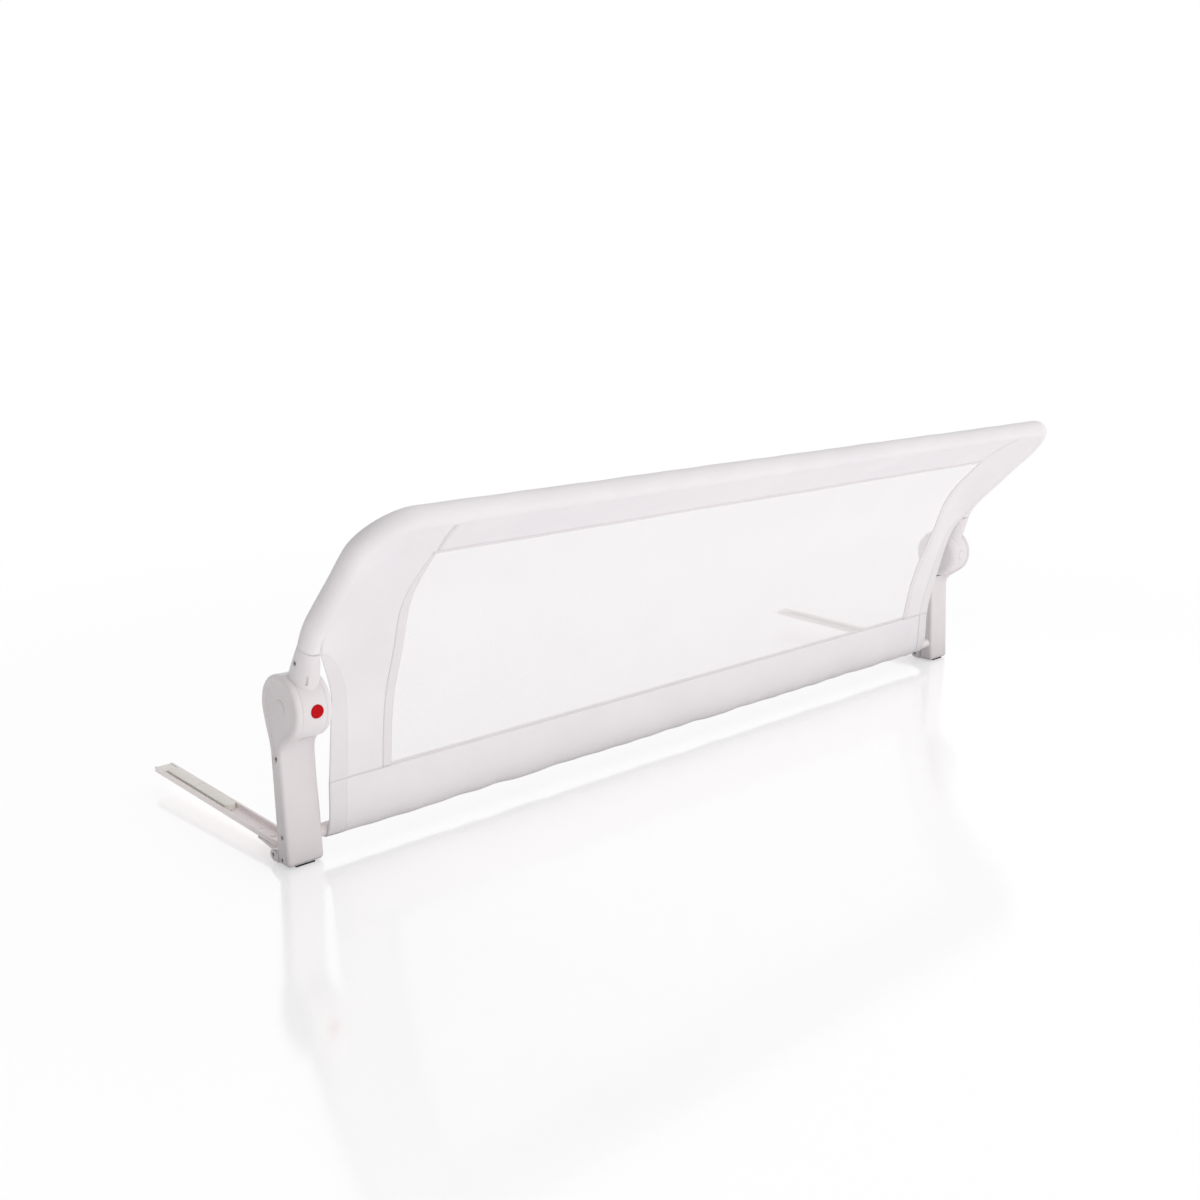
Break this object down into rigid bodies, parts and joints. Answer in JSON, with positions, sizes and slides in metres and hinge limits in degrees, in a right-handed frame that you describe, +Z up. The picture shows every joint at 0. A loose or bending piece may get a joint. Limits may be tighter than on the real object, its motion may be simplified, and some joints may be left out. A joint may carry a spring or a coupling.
{
  "type": "folding bed guard rail",
  "caption": "Long bed guard rail: fabric with a mesh window on a bent tube frame that folds down on drum hinges, with short posts and arms that reach under the mattress.",
  "frame": {"origin": "on the floor, under the middle of the whole rail's bounding box", "axes": "+X along the rail, -Y towards the room, +Y towards the bed and along the arms, +Z up"},
  "size_m": [1.5, 0.6436, 0.4927],
  "materials": {
    "white_plastic": "satin",
    "hub_plastic": "satin",
    "red_plastic": "satin",
    "dark_rubber": "matte",
    "steel": "satin",
    "painted_steel": "satin",
    "aluminium_tube": "satin",
    "white_fabric": "matte",
    "white_netting": "matte"
  },
  "bodies": {
    "base": {"left_post_shell": "white_plastic", "right_post_shell": "white_plastic", "left_post_cover": "white_plastic", "right_post_cover": "white_plastic", "left_hinge_axle": "white_plastic", "right_hinge_axle": "white_plastic", "left_upper_post_screw": "steel", "right_upper_post_screw": "steel", "left_lower_post_screw": "steel", "right_lower_post_screw": "steel", "left_foot_post_screw": "steel", "right_foot_post_screw": "steel", "index_ring": "steel", "left_foot_block": "white_plastic", "right_foot_block": "white_plastic", "left_sole": "dark_rubber", "right_sole": "dark_rubber", "left_arm_pin": "steel", "right_arm_pin": "steel", "lower_tube": "painted_steel", "bottom_sleeve": "white_fabric", "lower_mesh": "white_netting", "left_lower_border": "white_fabric", "right_lower_border": "white_fabric"},
    "upper_frame": {"left_hub_body": "hub_plastic", "right_hub_body": "hub_plastic", "left_hub_cover": "hub_plastic", "right_hub_cover": "hub_plastic", "left_socket_screw": "steel", "right_socket_screw": "steel", "right_hub_cap": "hub_plastic", "button_spring": "steel", "frame_tube": "aluminium_tube", "frame_sleeve": "white_fabric", "upper_mesh": "white_netting", "left_upper_border": "white_fabric", "right_upper_border": "white_fabric", "top_border": "white_fabric"},
    "button": {"release_button": "red_plastic", "latch_slider": "steel"},
    "left_arm": {"left_arm_knuckle": "painted_steel", "left_arm_beam": "painted_steel", "left_arm_pad": "white_plastic", "left_arm_tip_cap": "white_plastic", "left_arm_rivet": "steel"},
    "right_arm": {"right_arm_knuckle": "painted_steel", "right_arm_beam": "painted_steel", "right_arm_pad": "white_plastic", "right_arm_tip_cap": "white_plastic", "right_arm_rivet": "steel"}
  },
  "joints": [
    {"name": "frame_fold", "type": "hinge", "parent": "base", "child": "upper_frame", "pos_m": [0, -0.10365, 0.219], "axis": [1, 0, 0], "range_deg": [-40, 110], "deforming": ["lower_mesh", "left_lower_border", "right_lower_border"]},
    {"name": "button_press", "type": "slide", "parent": "upper_frame", "child": "button", "axis": [0, 1, 0], "range_m": [0, 0.004], "stiffness_N_per_m": 1500, "springref_m": -0.002, "deforming": ["button_spring"]},
    {"name": "left_arm_fold", "type": "hinge", "parent": "base", "child": "left_arm", "pos_m": [-0.724, -0.06765, 0.0105], "axis": [1, 0, 0], "range_deg": [0, 80]},
    {"name": "right_arm_fold", "type": "hinge", "parent": "base", "child": "right_arm", "pos_m": [0.724, -0.06765, 0.0105], "axis": [1, 0, 0], "range_deg": [0, 80]}
  ]
}
